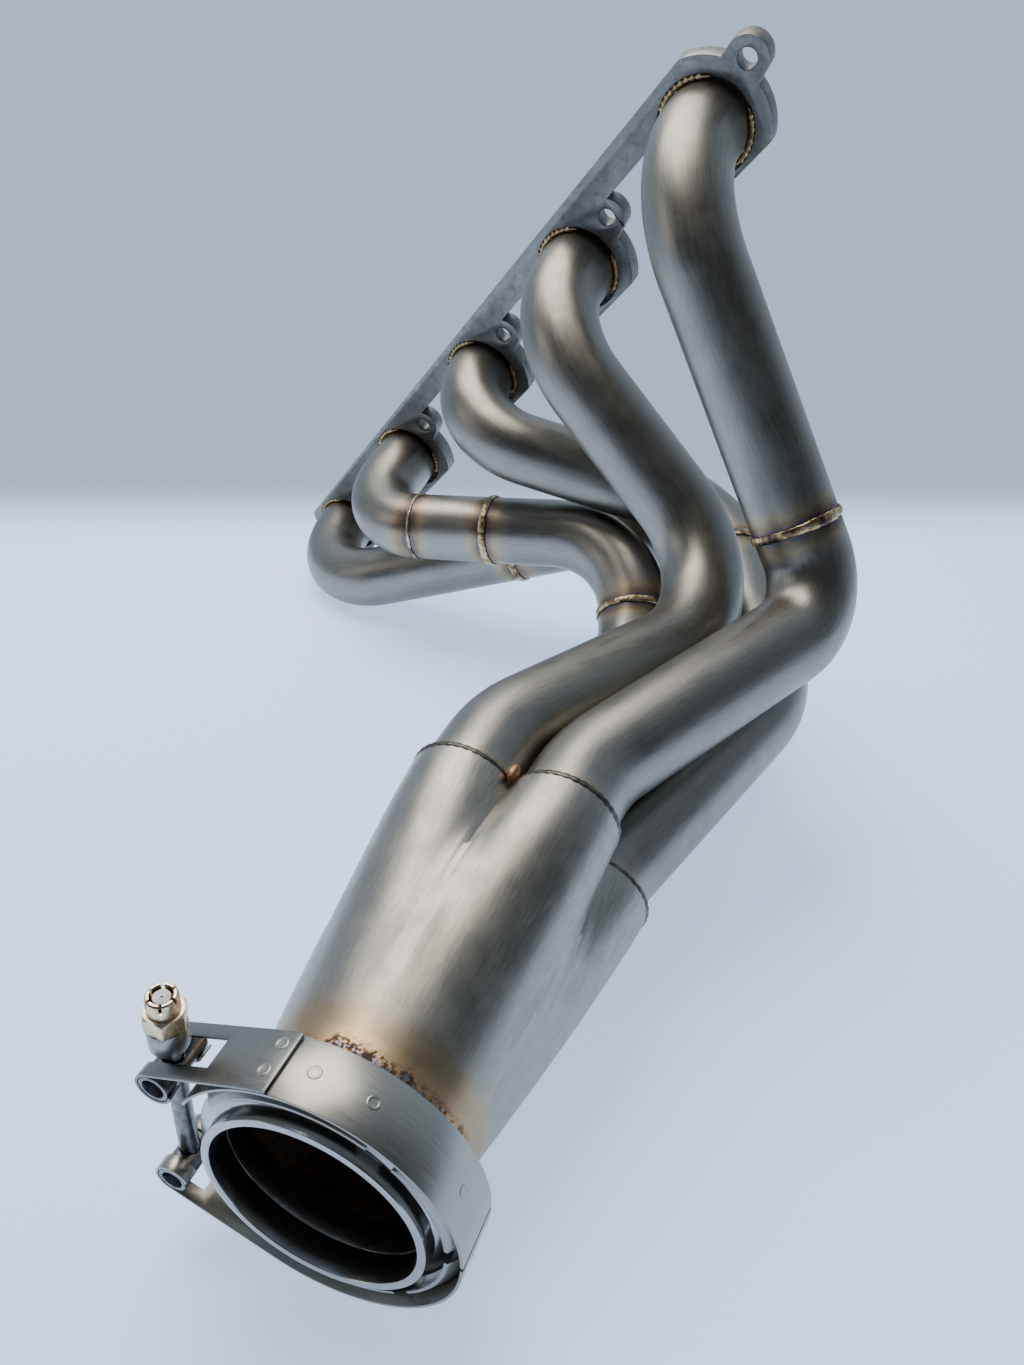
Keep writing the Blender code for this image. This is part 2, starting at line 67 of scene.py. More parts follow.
ROUTES = {
    "a": {"stub": 58.0, "bends": [(190.3, -217.7, 154.7)], "lead": 34.0, "radii": [76, 38, 76], "lobe": 0},
    "b": {"stub": 63.0, "bends": [(134.2, -205.5, 131.0)], "lead": 42.5, "radii": [70, 70, 76], "lobe": 1},
    "c": {"stub": 60.5, "bends": [(81.0, -178.4, 28.4), (143.5, -233.2, 184.7)], "lead": 13.0,
          "radii": [50, 70, 76, 76], "lobe": 4},
    "d": {"stub": 84.2, "bends": [(33.2, -148.4, 54.7), (32.6, -196.4, 144.2)], "lead": 58.7,
          "radii": [47, 70, 70, 76], "lobe": 2},
    "e": {"stub": 94.0, "bends": [(43.3, -179.4, 3.7), (53.3, -274.4, 135.8)], "lead": 30.0,
          "radii": [70, 70, 70, 76], "lobe": 3},
}
JOINTS = {"a": [(1, 0.9)], "b": [], "c": [(2, 0.02)], "d": [(1, 0.01), (1, 0.56), (2, 0.3)], "e": [(1, 0.6)]}
PIECES = {
    "a": ["tube_a_upper", "tube_a_lower"],
    "b": ["tube_b"],
    "c": ["tube_c_upper", "tube_c_lower"],
    "d": ["tube_d_upper", "tube_d_insert", "tube_d_middle", "tube_d_lower"],
    "e": ["tube_e_upper", "tube_e_lower"],
}


def side_axes(direction, hint):
    first = (hint - direction * hint.dot(direction)).normalized()
    return first, direction.cross(first)


MOUTH_X, MOUTH_Y = side_axes(MOUTH_AXIS, LOBE_SIDE)
CLAMP_X, CLAMP_Y = side_axes(OUTLET_AXIS, LOBE_SIDE)


def at_mouth(radius, degrees, along=0.0):
    angle = math.radians(degrees)
    return MOUTH + MOUTH_AXIS * along + radius * (math.cos(angle) * MOUTH_X + math.sin(angle) * MOUTH_Y)


def at_clamp(x, y, along):
    return OUTLET + OUTLET_AXIS * along + x * CLAMP_X + y * CLAMP_Y


def clamp_polar(radius, degrees, along):
    angle = math.radians(degrees)
    return at_clamp(radius * math.cos(angle), radius * math.sin(angle), along)


# Hand tools

def nothing_selected():
    bpy.ops.object.select_all(action="DESELECT")


def pick(obj):
    nothing_selected()
    obj.select_set(True)
    bpy.context.view_layer.objects.active = obj


def edit_all():
    bpy.ops.object.mode_set(mode="EDIT")
    bpy.ops.mesh.select_all(action="SELECT")


def leave_edit():
    bpy.ops.object.mode_set(mode="OBJECT")


def facing(direction):
    return direction.to_track_quat("Z", "Y").to_euler()


def apply_place():
    bpy.ops.object.transform_apply(location=True, rotation=True, scale=True)


def extrude(move):
    bpy.ops.mesh.extrude_region_move(TRANSFORM_OT_translate={"value": tuple(move)})


def spin(centre, axis, angle, steps):
    """Sweeps the selected edges round an axis; the operator counts its angle the other way."""
    bpy.ops.mesh.spin(steps=steps, angle=-angle, center=tuple(centre), axis=tuple(axis))


def tidy_normals():
    bpy.ops.mesh.select_all(action="SELECT")
    bpy.ops.mesh.remove_doubles(threshold=0.002)
    bpy.ops.mesh.normals_make_consistent(inside=False)


def fill_and_extrude(move):
    """Turns the loop being edited into a closed block."""
    edit_all()
    bpy.ops.mesh.edge_face_add()
    extrude(move)
    tidy_normals()
    leave_edit()


def turn_round(centre, axis, steps):
    """Turns the closed section being edited into a full ring."""
    edit_all()
    spin(centre, axis, 2 * math.pi, steps)
    tidy_normals()
    leave_edit()


def outline(points):
    """A loop of edges through the given places, begun as a circle."""
    nothing_selected()
    bpy.ops.mesh.primitive_circle_add(vertices=len(points), radius=1.0, location=(0, 0, 0))
    obj = bpy.context.object
    for vertex, place in zip(obj.data.vertices, points):
        vertex.co = place
    return obj


def bevel(obj, width, segments=2, angle=35.0):
    modifier = obj.modifiers.new("eased_edges", "BEVEL")
    modifier.width = width
    modifier.segments = segments
    modifier.limit_method = "ANGLE"
    modifier.angle_limit = math.radians(angle)
    modifier.harden_normals = False
    apply_modifier(obj, modifier)


def apply_modifier(obj, modifier):
    pick(obj)
    bpy.ops.object.modifier_apply(modifier=modifier.name)


def cut(obj, cutter, kind="DIFFERENCE"):
    modifier = obj.modifiers.new("cut", "BOOLEAN")
    modifier.operation = kind
    modifier.solver = "EXACT"
    modifier.object = cutter
    apply_modifier(obj, modifier)
    bpy.data.objects.remove(cutter, do_unlink=True)


def set_in_axes(centre, x, y, z):
    """Moves a shape made at the origin to a place with its own three directions."""
    return Matrix.Translation(centre) @ Matrix((
        (x.x, y.x, z.x, 0), (x.y, y.y, z.y, 0), (x.z, y.z, z.z, 0), (0, 0, 0, 1)))


def round_bar(start, end, radius, sides=48):
    nothing_selected()
    direction = (end - start).normalized()
    bpy.ops.mesh.primitive_cylinder_add(
        vertices=sides, radius=radius, depth=(end - start).length,
        location=(start + end) / 2, rotation=facing(direction))
    apply_place()
    return bpy.context.object


def finish(obj, name, body, material, replaced=(), smooth=35.0):
    """Names a piece, moves it from the row frame to its rest place and rides it on its body."""
    obj.name = name
    obj.data.name = name
    obj.data.transform(TO_METRES)
    obj.data.update()
    obj.data.materials.clear()
    obj.data.materials.append(material)
    pick(obj)
    bpy.ops.object.shade_smooth_by_angle(angle=math.radians(smooth))
    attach(obj, body)
    if replaced:
        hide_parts(*replaced)
    return obj


# Finishes

class Finish:
    """A principled material and the few node shapes that its pattern needs."""

    def __init__(self, name, roughness, metallic=1.0):
        self.material = bpy.data.materials.new(name)
        self.material.use_nodes = True
        self.tree = self.material.node_tree
        self.shader = self.tree.nodes["Principled BSDF"]
        self.shader.inputs["Metallic"].default_value = metallic
        self.shader.inputs["Roughness"].default_value = roughness

    def node(self, kind, **settings):
        node = self.tree.nodes.new(kind)
        for key, value in settings.items():
            setattr(node, key, value)
        return node

    def wire(self, out, into):
        self.tree.links.new(out, into)

    def place(self):
        return self.node("ShaderNodeTexCoord").outputs["Object"]

    def attribute(self, name, output="Vector"):
        return self.node("ShaderNodeAttribute", attribute_name=name).outputs[output]

    def stretched(self, vector, scale):
        mapping = self.node("ShaderNodeMapping")
        mapping.inputs["Scale"].default_value = scale
        self.wire(vector, mapping.inputs["Vector"])
        return mapping.outputs["Vector"]

    def noise(self, vector, scale, detail=3.0, rough=0.55, distortion=0.0):
        node = self.node("ShaderNodeTexNoise")
        node.inputs["Scale"].default_value = scale
        node.inputs["Detail"].default_value = detail
        node.inputs["Roughness"].default_value = rough
        node.inputs["Distortion"].default_value = distortion
        self.wire(vector, node.inputs["Vector"])
        return node.outputs["Fac"]

    def ramp(self, value, stops, smooth=True):
        node = self.node("ShaderNodeValToRGB")
        colours = node.color_ramp
        colours.interpolation = "EASE" if smooth else "LINEAR"
        while len(colours.elements) < len(stops):
            colours.elements.new(0.5)
        for element, (at, colour) in zip(colours.elements, stops):
            element.position = at
            if not isinstance(colour, tuple):
                colour = (colour, colour, colour)
            element.color = (*colour, 1.0)
        self.wire(value, node.inputs["Fac"])
        return node.outputs["Color"]

    def mix(self, amount, first, second, blend="MIX"):
        node = self.node("ShaderNodeMix", data_type="RGBA", blend_type=blend)
        if isinstance(amount, float):
            node.inputs[0].default_value = amount
        else:
            self.wire(amount, node.inputs[0])
        for socket, colour in ((node.inputs[6], first), (node.inputs[7], second)):
            if isinstance(colour, tuple):
                socket.default_value = (*colour, 1.0)
            else:
                self.wire(colour, socket)
        return node.outputs[2]

    def maths(self, kind, first, second=0.0, clamp=False):
        node = self.node("ShaderNodeMath", operation=kind, use_clamp=clamp)
        for socket, value in ((node.inputs[0], first), (node.inputs[1], second)):
            if isinstance(value, (int, float)):
                socket.default_value = value
            else:
                self.wire(value, socket)
        return node.outputs[0]

    def span(self, value, low, high, to_low=0.0, to_high=1.0):
        node = self.node("ShaderNodeMapRange", interpolation_type="SMOOTHSTEP")
        node.inputs["From Min"].default_value = low
        node.inputs["From Max"].default_value = high
        node.inputs["To Min"].default_value = to_low
        node.inputs["To Max"].default_value = to_high
        self.wire(value, node.inputs["Value"])
        return node.outputs["Result"]

    def bump(self, height, strength, distance=0.0002):
        node = self.node("ShaderNodeBump")
        node.inputs["Strength"].default_value = strength
        node.inputs["Distance"].default_value = distance
        self.wire(height, node.inputs["Height"])
        self.wire(node.outputs["Normal"], self.shader.inputs["Normal"])

    def colour(self, output):
        self.wire(output, self.shader.inputs["Base Color"])

    def rough(self, output):
        self.wire(output, self.shader.inputs["Roughness"])


def tube_finish(name, light, dark, streak=(1.0, 1.0, 0.03)):
    """Satin stainless tube with fine lengthwise marks and heat colour beside the joints.

    The pieces carry "straight", the place on the tube if it were unbent, and "seam", the
    distance to the nearest weld, both in metres.
    """
    f = Finish(name, 0.34)
    straight = f.attribute("straight")
    fine = f.noise(f.stretched(straight, streak), 2600.0, 4.0, 0.6)
    broad = f.noise(f.place(), 22.0, 3.0, 0.5, 0.4)
    cloud = f.noise(f.place(), 90.0, 4.0, 0.6)
    base = f.mix(f.ramp(fine, [(0.30, 0.0), (0.70, 1.0)]), dark, light)
    base = f.mix(f.ramp(broad, [(0.40, 0.0), (0.68, 0.30)]), base, (0.205, 0.193, 0.175))
    specks = f.noise(f.place(), 900.0, 2.0, 0.7)
    base = f.mix(f.ramp(specks, [(0.68, 0.0), (0.78, 0.35)]), base, (0.17, 0.16, 0.15))
    seam = f.attribute("seam", "Fac")
    wander = f.maths("MULTIPLY", f.maths("SUBTRACT", cloud, 0.5), 0.010)
    near = f.maths("MULTIPLY", f.maths("ADD", seam, wander), 42.0, clamp=True)
    heat = f.ramp(near, [(0.0, (0.20, 0.13, 0.08)), (0.12, (0.11, 0.09, 0.11)), (0.22, (0.24, 0.16, 0.09)),
                         (0.42, (0.40, 0.31, 0.18)), (0.75, (0.34, 0.32, 0.29))])
    share = f.ramp(near, [(0.0, 0.90), (0.35, 0.65), (0.95, 0.0)])
    f.colour(f.mix(share, base, heat))
    patches = f.ramp(f.noise(f.place(), 55.0, 5.0, 0.65), [(0.30, 0.30), (0.70, 0.42)])
    f.rough(f.mix(f.ramp(fine, [(0.35, 0.0), (0.65, 0.35)]), patches, (0.50, 0.50, 0.50)))
    f.bump(f.maths("ADD", f.maths("MULTIPLY", fine, 0.6), f.maths("MULTIPLY", specks, 0.4)), 0.10)
    return f.material


def collector_finish():
    """Collector: brushed along its length, with a burnt band and spatter at the clamp end."""
    f = Finish("collector_steel", 0.34)
    straight = f.attribute("straight")
    fine = f.noise(f.stretched(straight, (1.0, 1.0, 0.05)), 1800.0, 4.0, 0.6)
    broad = f.noise(f.place(), 18.0, 3.0, 0.5, 0.5)
    cloud = f.noise(f.place(), 70.0, 5.0, 0.6)
    base = f.mix(f.ramp(fine, [(0.30, 0.0), (0.70, 1.0)]), (0.27, 0.248, 0.21), (0.37, 0.34, 0.29))
    base = f.mix(f.ramp(broad, [(0.40, 0.0), (0.66, 0.30)]), base, (0.30, 0.28, 0.25))
    seam = f.attribute("seam", "Fac")
    wander = f.maths("MULTIPLY", f.maths("SUBTRACT", cloud, 0.5), 0.022)
    near = f.maths("MULTIPLY", f.maths("ADD", seam, wander), 24.0, clamp=True)
    heat = f.ramp(near, [(0.0, (0.16, 0.09, 0.045)), (0.12, (0.30, 0.16, 0.065)), (0.18, (0.16, 0.13, 0.19)),
                         (0.24, (0.40, 0.22, 0.085)), (0.45, (0.37, 0.25, 0.105)),
                         (0.82, (0.34, 0.295, 0.22))])
    share = f.ramp(near, [(0.0, 0.95), (0.40, 0.70), (0.98, 0.0)])
    base = f.mix(share, base, heat)
    spatter = f.noise(f.place(), 420.0, 4.0, 0.75)
    burnt = f.maths("MULTIPLY", f.ramp(spatter, [(0.44, 0.0), (0.56, 0.9)]),
                    f.ramp(near, [(0.22, 1.0), (0.34, 0.0)]))
    f.colour(f.mix(burnt, base, (0.065, 0.040, 0.022)))
    patches = f.ramp(cloud, [(0.30, 0.33), (0.70, 0.44)])
    f.rough(f.mix(burnt, patches, (0.75, 0.75, 0.75)))
    f.bump(f.maths("ADD", f.maths("MULTIPLY", fine, 0.5), f.maths("MULTIPLY", burnt, 2.0)), 0.12)
    return f.material


def plate_finish():
    """Port plate: ground steel, mottled and dull, with brownish scale in broad patches at random."""
    f = Finish("plate_steel_ground", 0.45)
    place = f.place()
    mottle = f.noise(place, 120.0, 6.0, 0.7, 0.6)
    broad = f.noise(place, 16.0, 3.0, 0.5)
    scratch = f.noise(f.stretched(place, (1.0, 0.12, 1.0)), 1400.0, 3.0, 0.6)
    base = f.ramp(mottle, [(0.32, (0.15, 0.146, 0.134)), (0.52, (0.215, 0.208, 0.19)),
                           (0.72, (0.29, 0.28, 0.255))])
    base = f.mix(f.ramp(broad, [(0.44, 0.0), (0.66, 0.22)]), base, (0.22, 0.185, 0.14))
    f.colour(base)
    f.rough(f.ramp(scratch, [(0.30, 0.36), (0.70, 0.58)]))
    f.bump(f.maths("ADD", mottle, f.maths("MULTIPLY", scratch, 0.6)), 0.22)
    return f.material


def bead_finish(name, stops, roughness=0.36):
    """Rippled weld metal, gold where it is clean and blue to brown where it stayed hot."""
    f = Finish(name, roughness)
    place = f.place()
    patch = f.noise(place, 150.0, 4.0, 0.6)
    grain = f.noise(place, 1500.0, 2.0, 0.6)
    f.colour(f.mix(f.ramp(grain, [(0.35, 0.0), (0.75, 0.30)]), f.ramp(patch, stops), (0.12, 0.09, 0.07)))
    f.rough(f.ramp(grain, [(0.3, roughness - 0.08), (0.7, roughness + 0.14)]))
    f.bump(grain, 0.10)
    return f.material


def band_finish(name, light, dark, low=0.20, high=0.32):
    """Bright strip steel brushed along the band; "straight" holds the unrolled place."""
    f = Finish(name, low)
    straight = f.attribute("straight")
    fine = f.noise(f.stretched(straight, (1.0, 1.0, 0.012)), 5200.0, 4.0, 0.6)
    cloud = f.noise(f.place(), 60.0, 4.0, 0.55)
    base = f.mix(f.ramp(fine, [(0.30, 0.0), (0.70, 1.0)]), dark, light)
    f.colour(f.mix(f.ramp(cloud, [(0.45, 0.0), (0.75, 0.25)]), base, (0.24, 0.23, 0.21)))
    f.rough(f.ramp(fine, [(0.30, low), (0.70, high)]))
    f.bump(fine, 0.04)
    return f.material


def turned_finish(name, light, dark, roughness, mottle=240.0):
    """Turned or pressed hardware: small mottling and fine marks, by place on the piece."""
    f = Finish(name, roughness)
    place = f.place()
    patch = f.noise(place, mottle, 4.0, 0.6)
    fine = f.noise(f.stretched(place, (1.0, 0.2, 1.0)), 3000.0, 3.0, 0.6)
    f.colour(f.mix(f.ramp(patch, [(0.35, 0.0), (0.70, 1.0)]), dark, light))
    f.rough(f.ramp(fine, [(0.3, max(0.05, roughness - 0.06)), (0.7, roughness + 0.12)]))
    f.bump(fine, 0.06)
    return f.material


TUBE_STEEL = tube_finish("tube_steel_satin", (0.30, 0.276, 0.236), (0.215, 0.197, 0.169))
INSERT_STEEL = tube_finish("tube_steel_brushed", (0.40, 0.375, 0.32), (0.26, 0.24, 0.205), (1.0, 1.0, 0.4))
COLLECTOR_STEEL = collector_finish()
PLATE_STEEL = plate_finish()
GOLD_BEAD = bead_finish("weld_bead_gold", [(0.34, (0.10, 0.07, 0.07)), (0.46, (0.30, 0.19, 0.09)),
                                           (0.56, (0.62, 0.47, 0.25)), (0.66, (0.70, 0.60, 0.44)),
                                           (0.76, (0.20, 0.14, 0.17))])
BRONZE_BEAD = bead_finish("weld_bead_bronze", [(0.32, (0.16, 0.10, 0.055)), (0.50, (0.36, 0.24, 0.12)),
                                               (0.68, (0.55, 0.42, 0.24))], 0.38)
RIM_BEAD = bead_finish("weld_bead_dark", [(0.30, (0.05, 0.045, 0.04)), (0.50, (0.10, 0.09, 0.08)),
                                          (0.72, (0.20, 0.18, 0.155))], 0.40)
COPPER_BEAD = bead_finish("weld_bead_copper", [(0.35, (0.30, 0.14, 0.08)), (0.65, (0.58, 0.33, 0.20))], 0.5)
BAND_STEEL = band_finish("band_steel_brushed", (0.36, 0.332, 0.285), (0.285, 0.263, 0.226), 0.26, 0.38)
TONGUE_STEEL = band_finish("tongue_steel_dull", (0.255, 0.247, 0.226), (0.185, 0.18, 0.165), 0.30, 0.42)
RING_STEEL = band_finish("ring_steel_machined", (0.44, 0.43, 0.405), (0.33, 0.322, 0.305), 0.15, 0.25)
INNER_STEEL = band_finish("segment_steel", (0.36, 0.35, 0.325), (0.25, 0.243, 0.225), 0.24, 0.36)
BOLT_STEEL = turned_finish("bolt_steel", (0.24, 0.235, 0.225), (0.13, 0.128, 0.124), 0.30)
COLLAR_STEEL = turned_finish("collar_steel", (0.40, 0.38, 0.34), (0.26, 0.248, 0.22), 0.36)
GOLD_PLATE = turned_finish("nut_gold_plate", (0.86, 0.70, 0.46), (0.66, 0.52, 0.33), 0.30)


# Tubes

def route_points(letter):
    route = ROUTES[letter]
    x = (2 - "abcde".index(letter)) * PORT_PITCH
    end = at_mouth(RING_OF_TUBES, FIRST_LOBE + 72 * route["lobe"], -GAP / 2)
    points = [Vector((x, 0, 1.0 - PLATE_THICKNESS)), Vector((x, 0, route["stub"]))]
    points += [Vector(point) for point in route["bends"]]
    return points + [end - MOUTH_AXIS * route["lead"], end]


def tube_moves(letter):
    """The bending sheet: for each piece its start, first direction and list of moves.

    A move is ("straight", vector) or ("bend", centre, axis, angle).
    """
    route = ROUTES[letter]
    points = route_points(letter)
    legs = [(b - a).normalized() for a, b in zip(points, points[1:])]
    reach = [0.0]
    for i, radius in enumerate(route["radii"]):
        reach.append(radius * math.tan(legs[i].angle(legs[i + 1]) / 2))
    reach.append(0.0)
    pieces = [{"start": points[0], "direction": legs[0], "moves": []}]
    for i, leg in enumerate(legs):
        start = points[i] + leg * reach[i]
        end = points[i + 1] - leg * reach[i + 1]
        here = start
        for where, share in JOINTS[letter]:
            if where == i:
                place = start.lerp(end, share)
                pieces[-1]["moves"].append(("straight", place - leg * GAP / 2 - here))
                here = place + leg * GAP / 2
                pieces.append({"start": here, "direction": leg, "moves": []})
        pieces[-1]["moves"].append(("straight", end - here))
        if i < len(route["radii"]):
            turn = leg.angle(legs[i + 1])
            inward = (legs[i + 1] - leg * leg.dot(legs[i + 1])).normalized()
            centre = end + inward * route["radii"][i]
            pieces[-1]["moves"].append(("bend", centre, leg.cross(inward), turn))
    return pieces


def centre_line(piece):
    """Places, directions and first side of the piece's centre line, carried without twist."""
    place = piece["start"].copy()
    direction = piece["direction"].copy()
    side = side_axes(direction, Vector((0.31, 0.52, 0.79)))[0]
    line = [(place.copy(), direction.copy(), side.copy(), 0.0)]
    length = 0.0
    for move in piece["moves"]:
        if move[0] == "straight":
            count = max(1, int(move[1].length / 4))
            for k in range(1, count + 1):
                line.append((place + move[1] * k / count, direction.copy(), side.copy(),
                             length + move[1].length * k / count))
            place = place + move[1]
            length += move[1].length
        else:
            _, centre, axis, angle = move
            arm = place - centre
            count = max(2, int(math.degrees(angle) / 3))
            for k in range(1, count + 1):
                turn = Matrix.Rotation(angle * k / count, 3, axis)
                line.append((centre + turn @ arm, turn @ direction, turn @ side,
                             length + arm.length * angle * k / count))
            turn = Matrix.Rotation(angle, 3, axis)
            place, direction, side = centre + turn @ arm, turn @ direction, turn @ side
            length += arm.length * angle
    return line


def surface_marks(obj):
    """Both marks are added before either is fetched, because adding one moves the other."""
    obj.data.attributes.new("straight", "FLOAT_VECTOR", "POINT")
    obj.data.attributes.new("seam", "FLOAT", "POINT")
    return obj.data.attributes["straight"], obj.data.attributes["seam"]


def mark_tube(obj, line, welded):
    """Writes "straight" and "seam" for the tube finish."""
    straight, seam = surface_marks(obj)
    total = line[-1][3]
    for i, vertex in enumerate(obj.data.vertices):
        place, direction, side, along = min(line, key=lambda entry: (entry[0] - vertex.co).length_squared)
        offset = vertex.co - place
        other = direction.cross(side)
        along += offset.dot(direction)
        straight.data[i].vector = (offset.dot(side) / 1000, offset.dot(other) / 1000, along / 1000)
        distance = 1.0
        if "start" in welded:
            distance = min(distance, along / 1000)
        if "end" in welded:
            distance = min(distance, (total - along) / 1000)
        elif "rim" in welded:
            distance = min(distance, (total - along) / 1000 + 0.007)
        seam.data[i].value = max(0.0, distance)


def bend_tube(letter, number, piece):
    name = PIECES[letter][number]
    nothing_selected()
    bpy.ops.mesh.primitive_circle_add(vertices=64, radius=TUBE_R, location=piece["start"],
                                      rotation=facing(piece["direction"]))
    apply_place()
    obj = bpy.context.object
    edit_all()
    for move in piece["moves"]:
        if move[0] == "straight":
            count = max(1, int(move[1].length / 5))
            for _ in range(count):
                extrude(move[1] / count)
        else:
            _, centre, axis, angle = move
            spin(centre, axis, angle, max(2, int(math.degrees(angle) / 3)))
    tidy_normals()
    leave_edit()
    wall = obj.modifiers.new("wall", "SOLIDIFY")
    wall.thickness = TUBE_WALL
    wall.offset = -1.0
    apply_modifier(obj, wall)
    last = len(PIECES[letter]) - 1
    welded = ["start", "end" if number < last else "rim"]
    mark_tube(obj, centre_line(piece), welded)
    steel = INSERT_STEEL if name == "tube_d_insert" else TUBE_STEEL
    finish(obj, name + "_bent", "manifold", steel, [name], 40.0)


def joint_bead(letter, number, piece):
    """Rippled ring of weld over a butt joint."""
    name = "joint_weld_" + letter
    if len(PIECES[letter]) > 2:
        name += "_" + str(number)
    ripples = 34
    thin = 0.45 if name == "joint_weld_d_1" else 1.0
    nothing_selected()
    centre = piece["start"] - piece["direction"] * GAP / 2
    bpy.ops.mesh.primitive_torus_add(location=(0, 0, 0), major_radius=TUBE_R + 0.55, minor_radius=1.0,
                                     major_segments=ripples * 5, minor_segments=14)
    obj = bpy.context.object
    dice = random.Random(name)
    drift = [dice.uniform(-0.35, 0.35) for _ in range(8)]
    for vertex in obj.data.vertices:
        x, y, z = vertex.co
        angle = math.atan2(y, x)
        radius = math.hypot(x, y)
        wave = (angle / (2 * math.pi) * ripples) % 1.0
        swell = 1.0 - 0.30 * (2 * wave - 1) ** 4 - 0.12 * wave
        height = max(0.25, ((radius - TUBE_R - 0.55) * 0.9 * swell + 0.7) * (0.4 + 0.6 * thin))
        width = z * 2.6 * thin * (1.0 - 0.10 * (2 * wave - 1) ** 2)
        width *= 1.0 + 0.5 * drift[int((angle + math.pi) / (2 * math.pi) * 7.99)]
        reach = TUBE_R + height
        vertex.co = (reach * math.cos(angle), reach * math.sin(angle), width)
    obj.location = centre
    obj.rotation_euler = facing(piece["direction"])
    pick(obj)
    apply_place()
    finish(obj, name + "_bead", "manifold", GOLD_BEAD, [name], 60.0)


for letter in "abcde":
    for number, piece in enumerate(tube_moves(letter)):
        bend_tube(letter, number, piece)
        if number > 0:
            joint_bead(letter, number, piece)


# Port plate

def arc(x, y, radius, first, last):
    steps = max(2, int(abs(last - first) / 4))
    angles = [math.radians(first + (last - first) * i / steps) for i in range(steps + 1)]
    return [Vector((x + radius * math.cos(a), y + radius * math.sin(a), -PLATE_THICKNESS)) for a in angles]


def port_plate():
    boss = PORT_R + 9.4
    tab = 11.8
    points = []
    for k in range(5):
        x = (2 - k) * PORT_PITCH
        if k == 0:
            points += arc(x, 0, boss, 66, 30)
            points += arc(x + BOLT_X, BOLT_Y, tab, 105, -62)
        else:
            points += arc(x + BOLT_X, BOLT_Y, tab, 38, -62)
        points += arc(x, 0, boss, -8, -56)
        points += arc(x, 0, boss, -124, (-214 if k < 4 else -246) + 12)
        if k < 4:
            points.append(Vector((x - boss + 4, WEB_EDGE, -PLATE_THICKNESS)))
    obj = outline(points)
    fill_and_extrude((0, 0, PLATE_THICKNESS))
    for k in range(5):
        x = (2 - k) * PORT_PITCH
        cut(obj, round_bar(Vector((x, 0, -20)), Vector((x, 0, 8)), PORT_R, 96))
        hole_low, hole_high = Vector((x + BOLT_X, BOLT_Y, -20)), Vector((x + BOLT_X, BOLT_Y, 8))
        cut(obj, round_bar(hole_low, hole_high, BOLT_HOLE_R, 48))
    bevel(obj, 0.55, 2, 40.0)
    finish(obj, "head_flange_plate", "manifold", PLATE_STEEL, ["head_flange"], 32.0)


def port_beads(letter):
    """Two runs of weld in the port's gap, and the narrow shoulder below them."""
    x = (2 - "abcde".index(letter)) * PORT_PITCH
    shoulder = [(TUBE_R + GAP, -8.5), (PORT_R - 0.15, -8.5), (PORT_R - 0.15, -7.0), (TUBE_R + GAP, -6.6)]
    obj = outline([Vector((x + r, 0, z)) for r, z in shoulder])
    turn_round(Vector((x, 0, 0)), Vector((0, 0, 1)), 96)
    name = "port_weld_" + letter
    finish(obj, name + "_root", "manifold", RIM_BEAD, [name], 30.0)
    spans = {"a": [(38, 128), (262, 338)], "b": [(40, 130), (278, 340)], "c": [(48, 128), (285, 338)],
             "d": [(52, 132), (288, 335)], "e": [(45, 125), (270, 330)]}[letter]
    for number, (first, last) in enumerate(spans, 1):
        bead_run(name + "_run_" + str(number), x, first, last)


def bead_run(name, x, first, last):
    steps = int((last - first) * 1.6)
    middle = (TUBE_R + PORT_R) / 2
    profile = []
    for i in range(12):
        angle = 2 * math.pi * i / 12
        profile.append((1.55 * math.cos(angle), 2.6 * math.sin(angle)))
    obj = outline([Vector((x + middle + r, 0, -2.2 + h)) for r, h in profile])
    turn = Matrix.Rotation(math.radians(first), 4, "Z")
    obj.data.transform(Matrix.Translation((x, 0, 0)) @ turn @ Matrix.Translation((-x, 0, 0)))
    edit_all()
    spin(Vector((x, 0, 0)), Vector((0, 0, 1)), math.radians(last - first), steps)
    tidy_normals()
    bpy.ops.mesh.select_all(action="DESELECT")
    bpy.ops.mesh.select_non_manifold()
    bpy.ops.mesh.edge_face_add()
    leave_edit()
    ripples = (last - first) / 8.0
    for vertex in obj.data.vertices:
        dx, dy = vertex.co.x - x, vertex.co.y
        angle = (math.degrees(math.atan2(dy, dx)) - first) % 360
        share = min(1.0, max(0.0, angle / (last - first)))
        wave = (share * ripples) % 1.0
        taper = min(1.0, 0.35 + 6 * share, 0.35 + 6 * (1 - share))
        swell = (1.0 - 0.16 * (2 * wave - 1) ** 2) * taper
        radius = math.hypot(dx, dy)
        offset = (radius - middle) * swell
        limit = min(PORT_R - 0.12 - middle, middle - TUBE_R - 0.12)
        top = vertex.co.z > -2.2
        if not top:
            offset = max(-limit, min(limit, offset))
        else:
            offset = max(-limit, offset * 1.25)
        scale = (middle + offset) / radius
        vertex.co.x = x + dx * scale
        vertex.co.y = dy * scale
        if top:
            lift = 0.2 + (vertex.co.z + 2.2) * swell
            vertex.co.z = -2.2 + lift
            if offset > limit:
                vertex.co.z = max(vertex.co.z, 0.06)
    finish(obj, name, "manifold", BRONZE_BEAD, (), 60.0)


port_plate()
for letter in "abcde":
    port_beads(letter)


# Collector

